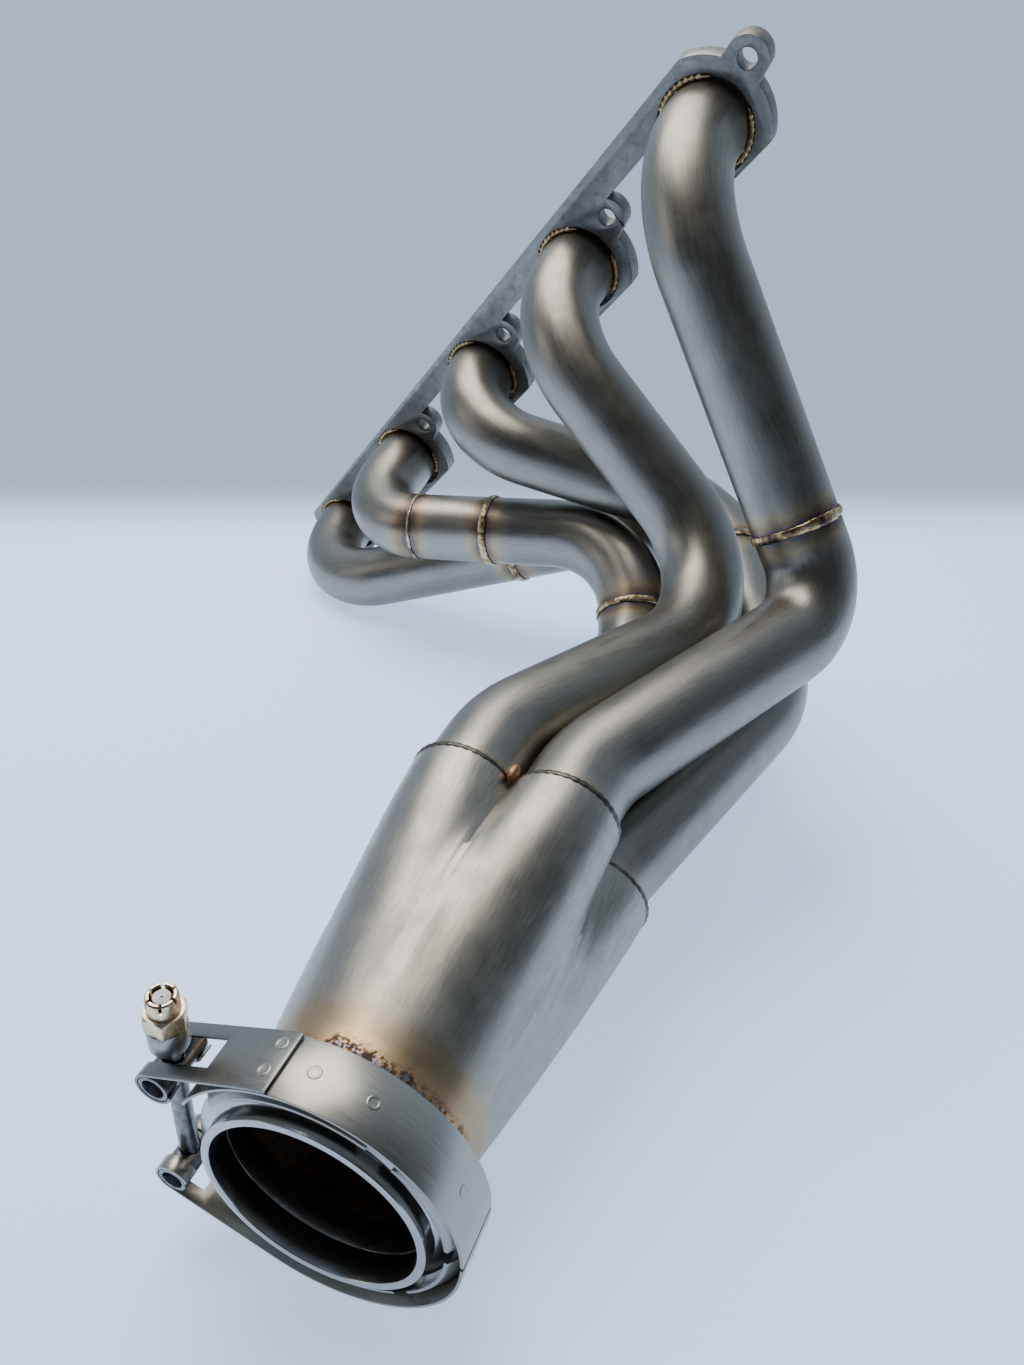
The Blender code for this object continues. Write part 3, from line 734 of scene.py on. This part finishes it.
def lobed_points(centre, axis, ring, radius, crease, per_lobe=36):
    """Outline of five circles in a ring, the valleys between them eased by crease."""
    first, second = side_axes(axis, LOBE_SIDE)
    half = math.radians(36)
    points = []
    for lobe in range(5):
        for i in range(per_lobe):
            angle = math.radians(72) * (i / per_lobe - 0.5)
            reach = ring * math.cos(angle) + math.sqrt(max(0.0, radius ** 2 - (ring * math.sin(angle)) ** 2))
            valley = ring * math.cos(half) + math.sqrt(max(0.0, radius ** 2 - (ring * math.sin(half)) ** 2))
            depth = ring + radius - valley
            away = (half - abs(angle)) * valley
            if crease > 0:
                reach += crease * math.exp(-(away / (crease * 2.2 + 0.01)) ** 2) * min(1.0, depth / 6.0)
            turn = math.radians(FIRST_LOBE + 72 * lobe) + angle
            points.append(centre + reach * (math.cos(turn) * first + math.sin(turn) * second))
    return points


def ease(t):
    return t * t * (3 - 2 * t)


def skin(sections):
    """Walls between equal closed sections, in order, closing on the first."""
    count = len(sections[0])
    places = [tuple(p) for section in sections for p in section]
    faces = []
    for s in range(len(sections)):
        t = (s + 1) % len(sections)
        for i in range(count):
            j = (i + 1) % count
            faces.append((s * count + i, s * count + j, t * count + j, t * count + i))
    mesh = bpy.data.meshes.new("skin")
    mesh.from_pydata(places, [], faces)
    obj = bpy.data.objects.new("skin", mesh)
    bpy.context.scene.collection.objects.link(obj)
    pick(obj)
    edit_all()
    bpy.ops.mesh.normals_make_consistent(inside=False)
    leave_edit()
    return obj


def collector_station(t):
    length = (OUTLET - MOUTH).length
    cone = length - SLEEVE_LENGTH
    share = t ** 1.25
    lean = ease(t)
    axis = MOUTH_AXIS.lerp(OUTLET_AXIS, lean).normalized()
    from_mouth = MOUTH + MOUTH_AXIS * (GAP / 2 + cone * t)
    centre = from_mouth.lerp(OUTLET - OUTLET_AXIS * (length - cone * t), lean)
    return centre, axis, share


def collector():
    length = (OUTLET - MOUTH).length
    mouth_outer = TUBE_R + 3.1
    mouth_inner = TUBE_R + 0.4
    outside = []
    inside = []
    heights = []
    stations = [i / 44 for i in range(45)]
    for t in stations:
        centre, axis, share = collector_station(t)
        ring = RING_OF_TUBES * (1 - share)
        outer = mouth_outer + (SLEEVE_R - mouth_outer) * share
        inner = mouth_inner + (OUTLET_R - mouth_inner) * share
        crease = 1.0 + 9.0 * min(1.0, t * 1.6)
        outside.append(lobed_points(centre, axis, ring, outer, crease * 0.32))
        inside.append(lobed_points(centre, axis, ring, inner, crease * 0.32))
        heights.append((length - SLEEVE_LENGTH) * (1 - t) + 17.6)
    for back in (36.0, 30.0, 24.4):
        centre = OUTLET - OUTLET_AXIS * back
        outside.append(lobed_points(centre, OUTLET_AXIS, 0.0, SLEEVE_R, 0.0))
        inside.append(lobed_points(centre, OUTLET_AXIS, 0.0, OUTLET_R, 0.0))
        heights.append(back - 24.4)
    obj = skin(outside + inside[::-1])
    straight, seam = surface_marks(obj)
    count = len(outside[0])
    rows = heights + heights[::-1]
    for i in range(len(obj.data.vertices)):
        row = i // count
        angle = 2 * math.pi * (i % count) / count
        straight.data[i].vector = (0.046 * math.cos(angle), 0.046 * math.sin(angle), rows[row] / 1000)
        seam.data[i].value = max(0.0, rows[row] - 2.8) / 1000
    finish(obj, "collector_shell_formed", "manifold", COLLECTOR_STEEL, ["collector_shell"],
           50.0)


def rim_bead():
    """Seam of weld that follows the lobed rim, where the shell meets the tubes."""
    centre, axis, _ = collector_station(0.0)
    middle = lobed_points(centre, axis, RING_OF_TUBES, TUBE_R + 1.9, 0.5, 60)
    outer = lobed_points(centre, axis, RING_OF_TUBES, TUBE_R + 3.3, 0.5, 60)
    dice = random.Random(7)
    sections = []
    count = len(middle)
    for turn in range(10):
        angle = 2 * math.pi * turn / 10
        section = []
        for i in range(count):
            outward = (outer[i] - middle[i]).normalized()
            wave = 0.82 + 0.18 * abs(math.sin(math.pi * i / 3.0))
            reach = 1.75 * wave * math.cos(angle)
            section.append(middle[i] + outward * (reach + 0.25) + axis * (2.1 * wave * math.sin(angle) - 0.9))
        sections.append(section)
    for section in sections:
        for i in range(count):
            section[i] = section[i] + axis * dice.uniform(-0.05, 0.05)
    obj = skin(sections)
    finish(obj, "collector_rim_weld", "manifold", RIM_BEAD, (), 70.0)


def copper_fleck():
    """Small blob of copper-coloured filler in the valley between the two nearest tubes."""
    nothing_selected()
    bpy.ops.mesh.primitive_uv_sphere_add(segments=32, ring_count=20, radius=1.0, location=(0, 0, 0))
    blob = bpy.context.object
    dice = random.Random(5)
    for vertex in blob.data.vertices:
        vertex.co *= 1.0 + dice.uniform(-0.05, 0.05)
    centre = at_mouth(RING_OF_TUBES + 9.5, FIRST_LOBE + 36, -3.0)
    outward = (at_mouth(1.0, FIRST_LOBE + 36) - at_mouth(0.0, FIRST_LOBE + 36)).normalized()
    side = MOUTH_AXIS.cross(outward)
    blob.data.transform(set_in_axes(centre, side * 2.6, outward * 3.0, MOUTH_AXIS * 5.0))
    finish(blob, "copper_weld_fleck", "manifold", COPPER_BEAD, (), 60.0)


collector()
rim_bead()
copper_fleck()


# Outlet rings

JOINT_PLANE = -12.0
STRAP_FRONT = -1.8
STRAP_BACK = STRAP_FRONT - 25.4
STRAP_MIDDLE = (STRAP_FRONT + STRAP_BACK) / 2
STRAP_THICKNESS = 1.2
LIP_R = SLEEVE_R + 7.0
RETAINER_R = LIP_R + 4.8
STRAP_R = RETAINER_R + GAP
TONGUE_R = STRAP_R + STRAP_THICKNESS + GAP
BARREL_RADIUS = 6.2
UPPER_BARREL = (70.0, 10.0)
LOWER_BARREL = (37.7, 61.7)
BARREL_SPAN = math.dist(UPPER_BARREL, LOWER_BARREL)
COLLAR_START = BARREL_SPAN + BARREL_RADIUS + STRAP_THICKNESS + 5.2
COLLAR_END = COLLAR_START + 11.0
SCREW_RADIUS = 4.0
HINGE_ANGLE = -146.5
STRAP_END = 4.0
TONGUE_STARTS = -43.0
LOOP_WRAP = 235.0
LOOP_WINDOW = 9.5
ARM_WINDOW = 21.0
BAND_OUTSIDE = STRAP_R + STRAP_THICKNESS
TONGUE_OUTSIDE = TONGUE_R + STRAP_THICKNESS


def mark_round(obj):
    """Writes "straight" for pieces brushed round the outlet."""
    straight = obj.data.attributes.new("straight", "FLOAT_VECTOR", "POINT")
    for i, vertex in enumerate(obj.data.vertices):
        offset = vertex.co - OUTLET
        x, y, along = offset.dot(CLAMP_X), offset.dot(CLAMP_Y), offset.dot(OUTLET_AXIS)
        straight.data[i].vector = (math.hypot(x, y) / 1000, along / 1000, math.atan2(y, x) * 0.058)


def spun_ring(name, profile, body, material, replaced, edge=0.35):
    obj = outline([clamp_polar(radius, 0.0, along) for radius, along in profile])
    turn_round(OUTLET, OUTLET_AXIS, 180)
    bevel(obj, edge, 2, 30.0)
    mark_round(obj)
    return finish(obj, name, body, material, replaced, 30.0)


tight = 0.15
spun_ring("outlet_flange_turned", [
    (OUTLET_R, JOINT_PLANE - tight), (OUTLET_R, -24.1), (SLEEVE_R, -24.1), (SLEEVE_R, JOINT_PLANE - 5.6),
    (LIP_R, JOINT_PLANE - 2.2), (LIP_R, JOINT_PLANE - tight)],
    "manifold", RING_STEEL, ["outlet_flange"])
spun_ring("mating_ring_turned", [
    (OUTLET_R, 0.0), (OUTLET_R, JOINT_PLANE + tight), (LIP_R, JOINT_PLANE + tight),
    (LIP_R, JOINT_PLANE + 2.2), (SLEEVE_R, JOINT_PLANE + 5.6), (SLEEVE_R, 0.0)],
    "outlet_ring", RING_STEEL, ["mating_ring"], 0.6)


# Band clamp

def strip_start(radius, degrees):
    """Section of the band at an angle, ready to be swept."""
    low, high = radius, radius + STRAP_THICKNESS
    corners = [(low, STRAP_FRONT), (high, STRAP_FRONT), (high, STRAP_BACK), (low, STRAP_BACK)]
    return outline([clamp_polar(r, degrees, along) for r, along in corners])


def close_strip():
    """Faces on both open ends of a swept section."""
    tidy_normals()
    bpy.ops.mesh.select_all(action="DESELECT")
    bpy.ops.mesh.select_non_manifold()
    bpy.ops.mesh.edge_face_add()
    tidy_normals()
    leave_edit()


def barrel_turn(barrel, side, radius):
    """Angle of the common normal where the band leaves its arc for the barrel."""
    towards = math.degrees(math.atan2(barrel[1], barrel[0]))
    lean = math.degrees(math.acos((radius - BARREL_RADIUS - GAP) / math.hypot(*barrel)))
    return towards - side * lean


def looped_strip(radius, first, barrel, side, wrap):
    leave = barrel_turn(barrel, side, radius)
    obj = strip_start(radius, first)
    edit_all()
    sweep = math.radians(leave - first)
    spin(OUTLET, OUTLET_AXIS, sweep, max(6, int(abs(leave - first) / 2)))
    on_arc = Vector((radius * math.cos(math.radians(leave)), radius * math.sin(math.radians(leave))))
    reach = BARREL_RADIUS + GAP
    on_barrel = Vector((barrel[0] + reach * math.cos(math.radians(leave)),
                        barrel[1] + reach * math.sin(math.radians(leave))))
    run = on_barrel - on_arc
    for _ in range(6):
        extrude((run.x * CLAMP_X + run.y * CLAMP_Y) / 6)
    spin(at_clamp(*barrel, 0.0), OUTLET_AXIS, side * math.radians(wrap), int(wrap / 5))
    close_strip()
    return obj


def plain_strip(radius, first, last):
    obj = strip_start(radius, first)
    edit_all()
    spin(OUTLET, OUTLET_AXIS, math.radians(last - first), int(abs(last - first) / 2))
    close_strip()
    return obj


BARREL_RUN = Vector((UPPER_BARREL[0] - LOWER_BARREL[0], UPPER_BARREL[1] - LOWER_BARREL[1])).normalized()


def screw_place(along):
    return at_clamp(LOWER_BARREL[0] + BARREL_RUN.x * along,
                    LOWER_BARREL[1] + BARREL_RUN.y * along, STRAP_MIDDLE)


SCREW_AXIS = (screw_place(10.0) - screw_place(0.0)).normalized()


def window(barrel, reach):
    """Slot through the middle of a loop, where the screw passes, and down its arm."""
    half = SCREW_RADIUS + 2.4
    corners = []
    for across, z in ((-reach, -half), (-reach, half), (LOOP_WINDOW, half), (LOOP_WINDOW, -half)):
        x = barrel[0] - BARREL_RUN.x * 13.0 - BARREL_RUN.y * across
        y = barrel[1] - BARREL_RUN.y * 13.0 + BARREL_RUN.x * across
        corners.append(at_clamp(x, y, STRAP_MIDDLE + z))
    obj = outline(corners)
    fill_and_extrude(SCREW_AXIS * (13.0 + max(13.0, reach - 1.0)))
    return obj


def retainer(name, body, first, last):
    thin = 1.5
    top = RETAINER_R
    leg = LIP_R - 1.6
    profile = [
        (top, JOINT_PLANE - 3.2), (leg + thin, JOINT_PLANE - 8.8), (leg, JOINT_PLANE - 8.8),
        (top - thin, JOINT_PLANE - 3.0), (top - thin, JOINT_PLANE + 3.0), (leg, JOINT_PLANE + 8.8),
        (leg + thin, JOINT_PLANE + 8.8), (top, JOINT_PLANE + 3.2)]
    obj = outline([clamp_polar(r, first, along) for r, along in profile])
    edit_all()
    spin(OUTLET, OUTLET_AXIS, math.radians(last - first), int((last - first) / 2))
    close_strip()
    bevel(obj, 0.25, 2, 30.0)
    mark_round(obj)
    finish(obj, name + "_pressed", body, INNER_STEEL, [name], 35.0)


def finish_strip(obj, name, body, steel):
    bevel(obj, 0.25, 2, 40.0)
    mark_round(obj)
    finish(obj, name + "_band", body, steel, [name], 35.0)


fixed = plain_strip(STRAP_R, HINGE_ANGLE + 1.0, STRAP_END)
finish_strip(fixed, "clamp_strap_fixed", "clamp_fixed", BAND_STEEL)

swing = looped_strip(STRAP_R, HINGE_ANGLE + 359.0, LOWER_BARREL, -1, LOOP_WRAP)
cut(swing, window(LOWER_BARREL, LOOP_WINDOW))
finish_strip(swing, "clamp_strap_swing", "clamp_swing", BAND_STEEL)

tongue = looped_strip(TONGUE_R, TONGUE_STARTS, UPPER_BARREL, 1, LOOP_WRAP)
cut(tongue, window(UPPER_BARREL, ARM_WINDOW))
finish_strip(tongue, "tongue_plate", "clamp_fixed", TONGUE_STEEL)

retainer("retainer_1", "clamp_fixed", -82, -6)
retainer("retainer_2", "clamp_fixed", -142, -94)
retainer("retainer_3", "clamp_swing", 168, 210)
retainer("retainer_4", "clamp_swing", 122, 160)


def spot_weld(name, body, radius, degrees, along, size=2.7):
    """Round mark of an electrode: a low rim round a shallow flat, laid on the band."""
    nothing_selected()
    bpy.ops.mesh.primitive_circle_add(vertices=40, radius=size, fill_type="NGON", location=(0, 0, 0))
    obj = bpy.context.object
    edit_all()
    bpy.ops.mesh.inset(thickness=size * 0.10)
    bpy.ops.transform.translate(value=(0, 0, 0.16))
    bpy.ops.mesh.inset(thickness=size * 0.14)
    bpy.ops.transform.translate(value=(0, 0, 0.02))
    bpy.ops.mesh.inset(thickness=size * 0.12)
    bpy.ops.transform.translate(value=(0, 0, -0.13))
    bpy.ops.mesh.inset(thickness=size * 0.3)
    bpy.ops.mesh.select_all(action="DESELECT")
    bpy.ops.mesh.select_non_manifold()
    extrude((0, 0, -0.14))
    bpy.ops.mesh.edge_face_add()
    tidy_normals()
    leave_edit()
    for vertex in obj.data.vertices:
        x, y, z = vertex.co
        vertex.co = clamp_polar(radius + z, degrees + math.degrees(x / radius), along + y)
    mark_round(obj)
    return finish(obj, name, body, BAND_STEEL, (), 30.0)


for number, (degrees, along) in enumerate([(-54, -15), (-76, -15), (-121, -14.5)], 1):
    spot_weld("spot_weld_fixed_" + str(number), "clamp_fixed", BAND_OUTSIDE, degrees, along)
for number, (degrees, along) in enumerate([(-37.5, -21.5), (-37.5, -10)], 1):
    spot_weld("spot_weld_tongue_" + str(number), "clamp_fixed", TONGUE_OUTSIDE, degrees, along)
for number, degrees in enumerate([204, 178, 150, 127], 1):
    spot_weld("spot_weld_swing_" + str(number), "clamp_swing", BAND_OUTSIDE, degrees, -14.5)


# Closing screw

def barrel(name, centre, body, hole_from, hole_to, hole_radius):
    front = STRAP_FRONT - 0.2
    back = STRAP_BACK + 0.2
    obj = round_bar(at_clamp(*centre, front), at_clamp(*centre, back), BARREL_RADIUS)
    cut(obj, round_bar(screw_place(hole_from), screw_place(hole_to), hole_radius, 40))
    cut(obj, round_bar(at_clamp(*centre, front + 4), at_clamp(*centre, front - 6), BARREL_RADIUS - 1.6))
    cut(obj, round_bar(at_clamp(*centre, back - 4), at_clamp(*centre, back + 6), BARREL_RADIUS - 1.6))
    bevel(obj, 0.3, 2, 40.0)
    finish(obj, name + "_turned", body, BOLT_STEEL, [name], 35.0)


def ring_stack(name, sections, sides, body, material, replaced, edge=0.25):
    """A turned piece on the screw's line: profile of (radius, place) spun round it."""
    first = side_axes(SCREW_AXIS, OUTLET_AXIS)[0]
    obj = outline([screw_place(along) + first * radius for radius, along in sections])
    turn_round(screw_place(0.0), SCREW_AXIS, sides)
    if edge:
        bevel(obj, edge, 2, 30.0)
    return finish(obj, name, body, material, replaced, 32.0) if material else obj


def closing_screw():
    """Plain shank with a rolled thread on its outer end."""
    start, end = 1.6, COLLAR_END + 14.4
    thread_from, pitch = BARREL_SPAN + 8.0, 1.25
    profile = [(0.4, start), (SCREW_RADIUS - 0.5, start), (SCREW_RADIUS, start + 0.5),
               (SCREW_RADIUS, thread_from)]
    along = thread_from
    while along + pitch < end - 0.6:
        profile += [(SCREW_RADIUS - 0.55, along + pitch * 0.5), (SCREW_RADIUS, along + pitch)]
        along += pitch
    profile += [(SCREW_RADIUS - 0.8, end), (0.4, end)]
    ring_stack("t_bolt_shank", profile, 48, "screw", BOLT_STEEL, ["t_bolt"], 0.0)


def nut():
    """Hexagon with a slotted round crown."""
    start = COLLAR_END + GAP
    inner = SCREW_RADIUS + GAP
    nothing_selected()
    bpy.ops.mesh.primitive_cylinder_add(vertices=6, radius=8.3, depth=8.0 - GAP, location=(0, 0, 0))
    hexagon = bpy.context.object
    first, second = side_axes(SCREW_AXIS, OUTLET_AXIS)
    middle = screw_place((start + COLLAR_END + 8.0) / 2)
    hexagon.data.transform(set_in_axes(middle, first, second, SCREW_AXIS))
    cone = ring_stack("cone", [
        (0.2, start - 1), (7.9, start - 1), (8.4, start + 0.9), (8.4, COLLAR_END + 6.6),
        (7.2, COLLAR_END + 8.1), (0.2, COLLAR_END + 8.1)], 48, "nut", None, (), 0.0)
    cut(hexagon, cone, "INTERSECT")
    cut(hexagon, round_bar(screw_place(start - 5), screw_place(COLLAR_END + 22), inner, 48))
    bevel(hexagon, 0.22, 2, 35.0)
    finish(hexagon, "clamp_nut_hexagon", "nut", GOLD_PLATE, ["clamp_nut"], 32.0)
    crown = ring_stack("crown", [
        (inner, COLLAR_END + 7.0), (6.15, COLLAR_END + 7.0), (6.15, COLLAR_END + 13.6),
        (5.8, COLLAR_END + 15.1), (5.2, COLLAR_END + 15.6), (inner, COLLAR_END + 15.6)],
        60, "nut", None, (), 0.0)
    for i in range(6):
        angle = math.radians(60 * i + 31.3)
        across = math.cos(angle) * first + math.sin(angle) * second
        side = SCREW_AXIS.cross(across)
        top = screw_place(COLLAR_END + 15.6)
        section = ((-1, -4), (1, -4), (1, 2), (-1, 2))
        slot_cutter = outline([top + across * 9 + side * s * 0.6 + SCREW_AXIS * h for s, h in section])
        fill_and_extrude(across * -7)
        cut(crown, slot_cutter)
    bevel(crown, 0.15, 2, 35.0)
    finish(crown, "clamp_nut_crown", "nut", GOLD_PLATE, (), 32.0)


barrel("upper_trunnion", UPPER_BARREL, "upper_barrel", 45, 80, SCREW_RADIUS + 0.7)
barrel("lower_trunnion", LOWER_BARREL, "screw", 1.0, 20, SCREW_RADIUS + GAP)
closing_screw()
ring_stack("bolt_collar_turned", [(SCREW_RADIUS + GAP, COLLAR_START), (7.6, COLLAR_START), (7.6, COLLAR_END),
                                  (SCREW_RADIUS + GAP, COLLAR_END)], 64, "collar", COLLAR_STEEL,
           ["bolt_collar"], 0.6)
nut()


# Finish for the carried-over star

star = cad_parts["collector_star"]
star.data.materials.clear()
star.data.materials.append(COLLAR_STEEL)


# Floor, light and camera

VIEW_AHEAD = Vector((-0.3777, 0.9259, 0.0))
CAMERA_PLACE = Vector((0.2717, -0.4989, 0.4210))
WALL_TONE = (0.52, 0.66, 0.84)


def floor():
    """Pale floor that turns to the duller wall tone well behind the piece."""
    nothing_selected()
    bpy.ops.mesh.primitive_circle_add(vertices=96, radius=60.0, fill_type="NGON", location=(0, 0, -0.0004))
    obj = bpy.context.object
    obj.name = "pale_floor"
    f = Finish("pale_floor", 0.6, 0.0)
    f.shader.inputs["Specular IOR Level"].default_value = 0.0
    ahead = f.node("ShaderNodeVectorMath", operation="DOT_PRODUCT")
    f.wire(f.place(), ahead.inputs[0])
    ahead.inputs[1].default_value = VIEW_AHEAD
    start = CAMERA_PLACE.dot(VIEW_AHEAD)
    tone = f.span(ahead.outputs["Value"], start + 0.94, start + 1.12)
    f.colour(f.mix(tone, (0.64, 0.79, 1.0), (0.0, 0.0, 0.0)))
    f.wire(f.mix(tone, (0.62, 0.77, 1.02), WALL_TONE), f.shader.inputs["Emission Color"])
    f.shader.inputs["Emission Strength"].default_value = 1.0
    obj.data.materials.append(f.material)


def soft_light(name, place, target, size, power, colour=(1, 1, 1)):
    light = bpy.data.lights.new(name, "AREA")
    light.shape = "RECTANGLE"
    light.size, light.size_y = size
    light.energy = power
    light.color = colour
    obj = bpy.data.objects.new(name, light)
    bpy.context.scene.collection.objects.link(obj)
    obj.location = place
    obj.rotation_euler = (Vector(target) - Vector(place)).to_track_quat("-Z", "Y").to_euler()


def studio():
    """Dim room behind the camera, light wall ahead, and two soft panels."""
    world = bpy.data.worlds.new("studio")
    bpy.context.scene.world = world
    world.use_nodes = True
    tree = world.node_tree
    background = tree.nodes["Background"]
    ahead = tree.nodes.new("ShaderNodeVectorMath")
    ahead.operation = "DOT_PRODUCT"
    ahead.inputs[1].default_value = VIEW_AHEAD
    tree.links.new(tree.nodes.new("ShaderNodeTexCoord").outputs["Generated"], ahead.inputs[0])
    turned = tree.nodes.new("ShaderNodeMapRange")
    turned.inputs["From Min"].default_value = -1.0
    tree.links.new(ahead.outputs["Value"], turned.inputs["Value"])
    ramp = tree.nodes.new("ShaderNodeValToRGB")
    ramp.color_ramp.interpolation = "EASE"
    ramp.color_ramp.elements[0].color = (0.055, 0.06, 0.065, 1.0)
    ramp.color_ramp.elements[0].position = 0.25
    ramp.color_ramp.elements[1].color = (*WALL_TONE, 1.0)
    ramp.color_ramp.elements[1].position = 0.86
    tree.links.new(turned.outputs["Result"], ramp.inputs["Fac"])
    tree.links.new(ramp.outputs["Color"], background.inputs["Color"])
    background.inputs["Strength"].default_value = 1.0
    soft_light("top_panel", (-0.28, 0.28, 1.25), (0.0, 0.0, 0.1), (0.9, 1.0), 17.0, (1.0, 0.97, 0.92))
    soft_light("left_panel", (-1.4, -0.7, 0.8), (0.0, 0.0, 0.15), (0.7, 0.8), 2.2, (1.0, 0.97, 0.92))


def camera():
    data = bpy.data.cameras.new("camera")
    data.sensor_fit = "HORIZONTAL"
    data.sensor_width = 36.0
    data.lens = 37.97
    obj = bpy.data.objects.new("camera", data)
    bpy.context.scene.collection.objects.link(obj)
    forward = Vector((-0.3230, 0.7918, -0.5184)).normalized()
    up = Vector((-0.1962, 0.4798, 0.8552))
    right = forward.cross(up).normalized()
    up = right.cross(forward)
    obj.matrix_world = Matrix((
        (right.x, up.x, -forward.x, CAMERA_PLACE.x), (right.y, up.y, -forward.y, CAMERA_PLACE.y),
        (right.z, up.z, -forward.z, CAMERA_PLACE.z), (0, 0, 0, 1)))
    data.clip_start = 0.01
    bpy.context.scene.camera = obj


floor()
studio()
camera()
